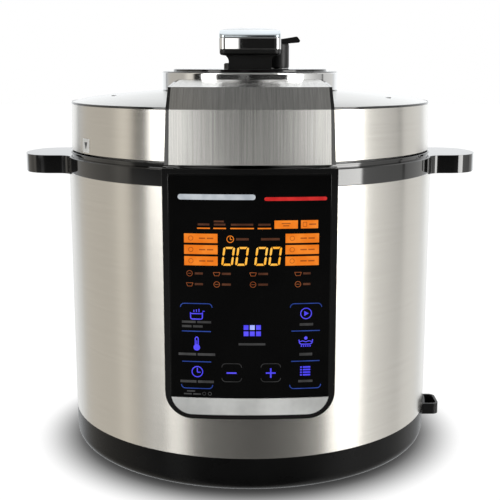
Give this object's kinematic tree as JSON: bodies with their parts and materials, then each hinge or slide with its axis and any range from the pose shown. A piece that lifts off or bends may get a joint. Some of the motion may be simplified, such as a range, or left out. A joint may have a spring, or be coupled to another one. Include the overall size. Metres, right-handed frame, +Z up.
{
  "type": "electric pressure cooker",
  "caption": "Round electric pressure cooker with steel body, twist-lock lid, lift handle, steam valve, side handles, front touch panel and removable pot.",
  "frame": {"origin": "centre of the footprint, on the surface that the rubber feet stand on, on the body's axis", "axes": "+Z up along the body's axis, the control panel faces -Y, +X towards the cooker's right side handle (left in a front view is -X)"},
  "size_m": [0.352, 0.3, 0.3225],
  "materials": {
    "black_gloss": "polished, hard reflections",
    "black_satin": "satin moulded plastic",
    "window_black": "polished black acrylic",
    "brushed_steel": "fine brushed",
    "lid_steel": "spun satin",
    "chrome": "bright plated",
    "pot_steel": "satin drawn steel",
    "cast_aluminium": "cast, turned face",
    "pot_coating": "speckled non-stick",
    "zinc_steel": "zinc plated",
    "foot_rubber": "matte",
    "silicone": "milky, matte",
    "silver_foil": "silver print under film",
    "circuit_board": "green lacquer",
    "lamp_tray": "white moulded",
    "part_blue": "wound and moulded parts",
    "brass_pins": "nickel plated",
    "smoke_clear": "smoked translucent",
    "white_mica": "white moulded"
  },
  "bodies": {
    "housing": {"base_cover": "black_satin", "rubber_feet": "foot_rubber", "base_screws": "zinc_steel", "support_brackets": "zinc_steel", "housing_shell": "brushed_steel", "collar_ring": "black_gloss", "handle_covers": "black_satin", "handle_screws": "zinc_steel", "spoon_holder": "black_satin", "outer_pot": "cast_aluminium", "heating_plate": "cast_aluminium", "heating_element": "pot_steel", "pressure_spring_plate": "zinc_steel", "pressure_switch": "white_mica", "thermal_cutout": "zinc_steel", "sensor_bracket": "zinc_steel", "sensor_spring": "zinc_steel", "inner_pot": "pot_coating", "panel_bezel": "black_gloss", "touch_window": "window_black", "panel_strip": "silver_foil", "display_module": "lamp_tray", "display_board": "circuit_board", "power_board": "circuit_board", "board_components": "part_blue", "power_inlet": "black_satin", "inlet_pins": "brass_pins", "cup_bracket": "black_satin"},
    "lid": {"lid_band": "brushed_steel", "lid_trim_ring": "black_gloss", "lid_dome": "lid_steel", "lid_inner_frame": "black_satin", "lid_screws": "zinc_steel", "hub": "black_gloss", "spine_frame": "black_gloss", "spine_plate": "brushed_steel", "handle_neck": "black_satin", "handle_trim": "chrome", "handle_cap": "black_gloss", "handle_bolts": "zinc_steel", "pressure_lid": "cast_aluminium", "sealing_ring": "silicone", "inner_liner": "cast_aluminium", "liner_stud": "pot_steel", "steam_shield": "pot_steel", "steam_pipe": "pot_steel"},
    "lid_switch": {"lid_switch_slider": "white_mica"},
    "steam_valve": {"steam_valve": "black_satin"},
    "float_valve": {"float_valve": "black_satin", "float_gasket": "silicone"},
    "sensor": {"sensor_cap": "cast_aluminium"},
    "condensation_cup": {"condensation_cup": "smoke_clear"}
  },
  "joints": [
    {"name": "lid_turn", "type": "hinge", "parent": "housing", "child": "lid_switch", "pos_m": [0, 0, 0.2205], "axis": [0, 0, 1], "range_deg": [0, 22.5]},
    {"name": "lid_lift", "type": "slide", "parent": "lid_switch", "child": "lid", "axis": [0, 0, 1], "range_m": [0, 0.2]},
    {"name": "steam_valve_turn", "type": "hinge", "parent": "lid", "child": "steam_valve", "pos_m": [0.0227, 0.05, 0.3], "axis": [0, 0, 1], "range_deg": [0, 50]},
    {"name": "float_rise", "type": "slide", "parent": "lid", "child": "float_valve", "axis": [0, 0, 1], "range_m": [0, 0.004]},
    {"name": "sensor_press", "type": "slide", "parent": "housing", "child": "sensor", "axis": [0, 0, 1], "range_m": [-0.0025, 0], "stiffness_N_per_m": 600, "springref_m": 0.002, "deforming": ["sensor_spring"]},
    {"name": "cup_pull", "type": "slide", "parent": "housing", "child": "condensation_cup", "axis": [0, 1, 0], "range_m": [0, 0.03]}
  ]
}
